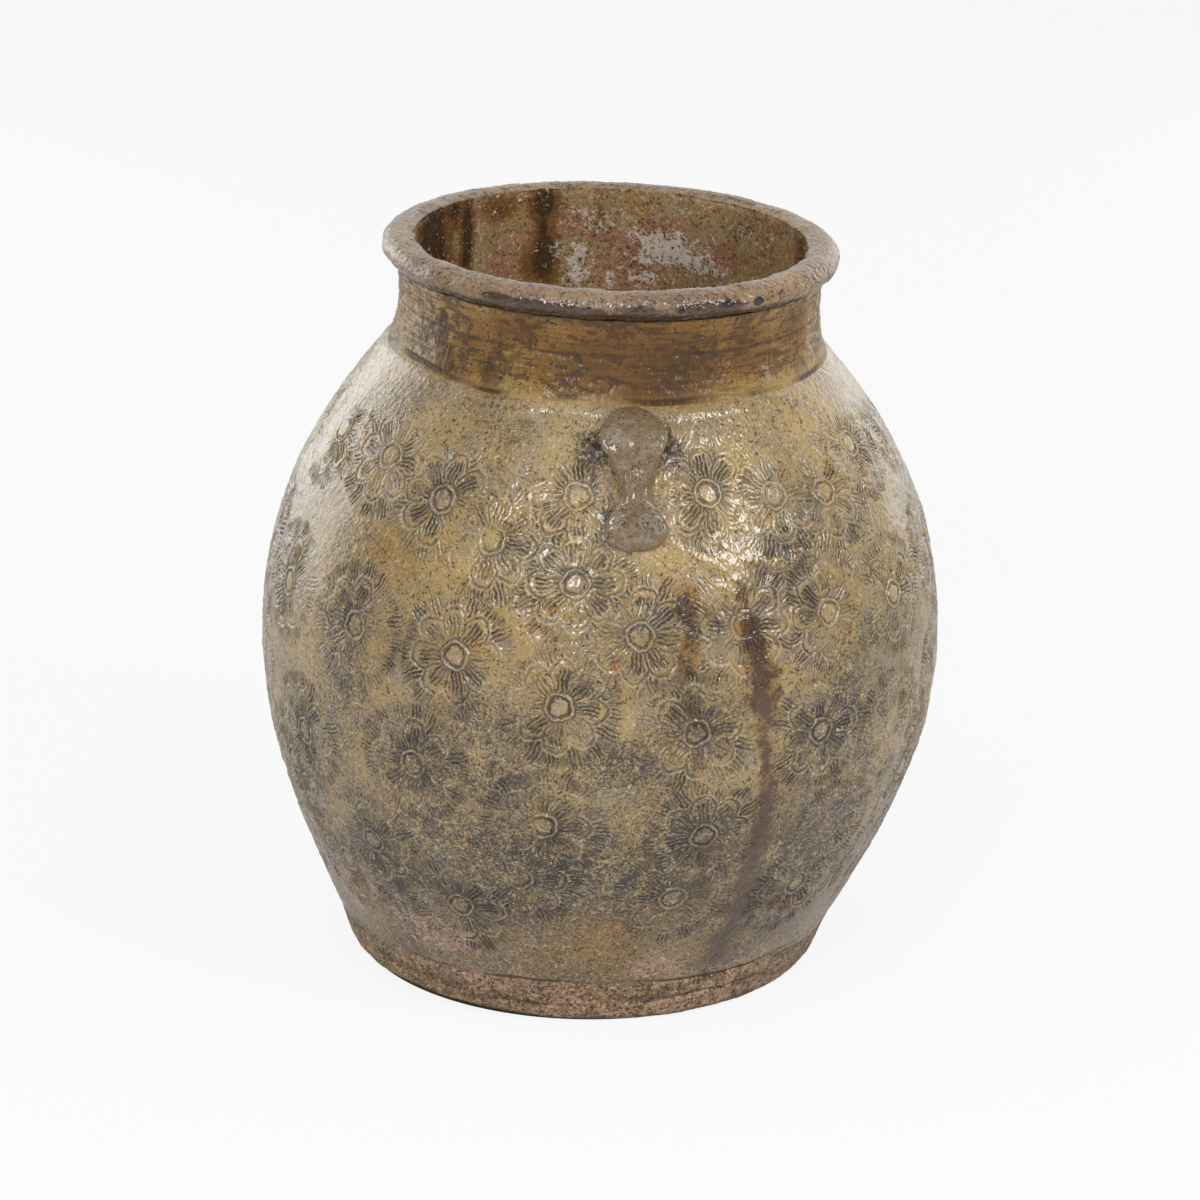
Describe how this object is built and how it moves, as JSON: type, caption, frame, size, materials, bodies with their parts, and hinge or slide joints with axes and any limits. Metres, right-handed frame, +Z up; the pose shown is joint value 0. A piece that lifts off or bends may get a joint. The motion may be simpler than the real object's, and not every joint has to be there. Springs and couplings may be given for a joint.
{
  "type": "martaban jar",
  "caption": "Wide-bellied glazed stoneware storage jar with a short neck, rolled rim, open mouth and strap lugs on the shoulder for a cover's cord.",
  "frame": {"origin": "centre of the foot on the floor", "axes": "+Z up; the lugs lie on -Y and +Y; the jar leans slightly towards +X; the side shown in the picture faces -Y"},
  "size_m": [0.29, 0.29, 0.3167],
  "materials": {
    "foot_clay": "thin worn glaze over pinkish buff stoneware",
    "body_glaze": "glossy ochre to olive-brown ash glaze with dark speckle",
    "neck_glaze": "glossy amber-brown ash glaze over turning lines",
    "rim_glaze": "worn mauve-brown glaze, dark and glossy where it pooled",
    "lug_glaze": "glossy grey-brown ash glaze"
  },
  "bodies": {
    "root": {"base_slab": "foot_clay", "lower_wall": "body_glaze", "upper_wall": "body_glaze", "neck_collar": "neck_glaze", "rim_roll": "rim_glaze", "lug_front": "lug_glaze", "lug_back": "lug_glaze"}
  },
  "joints": []
}
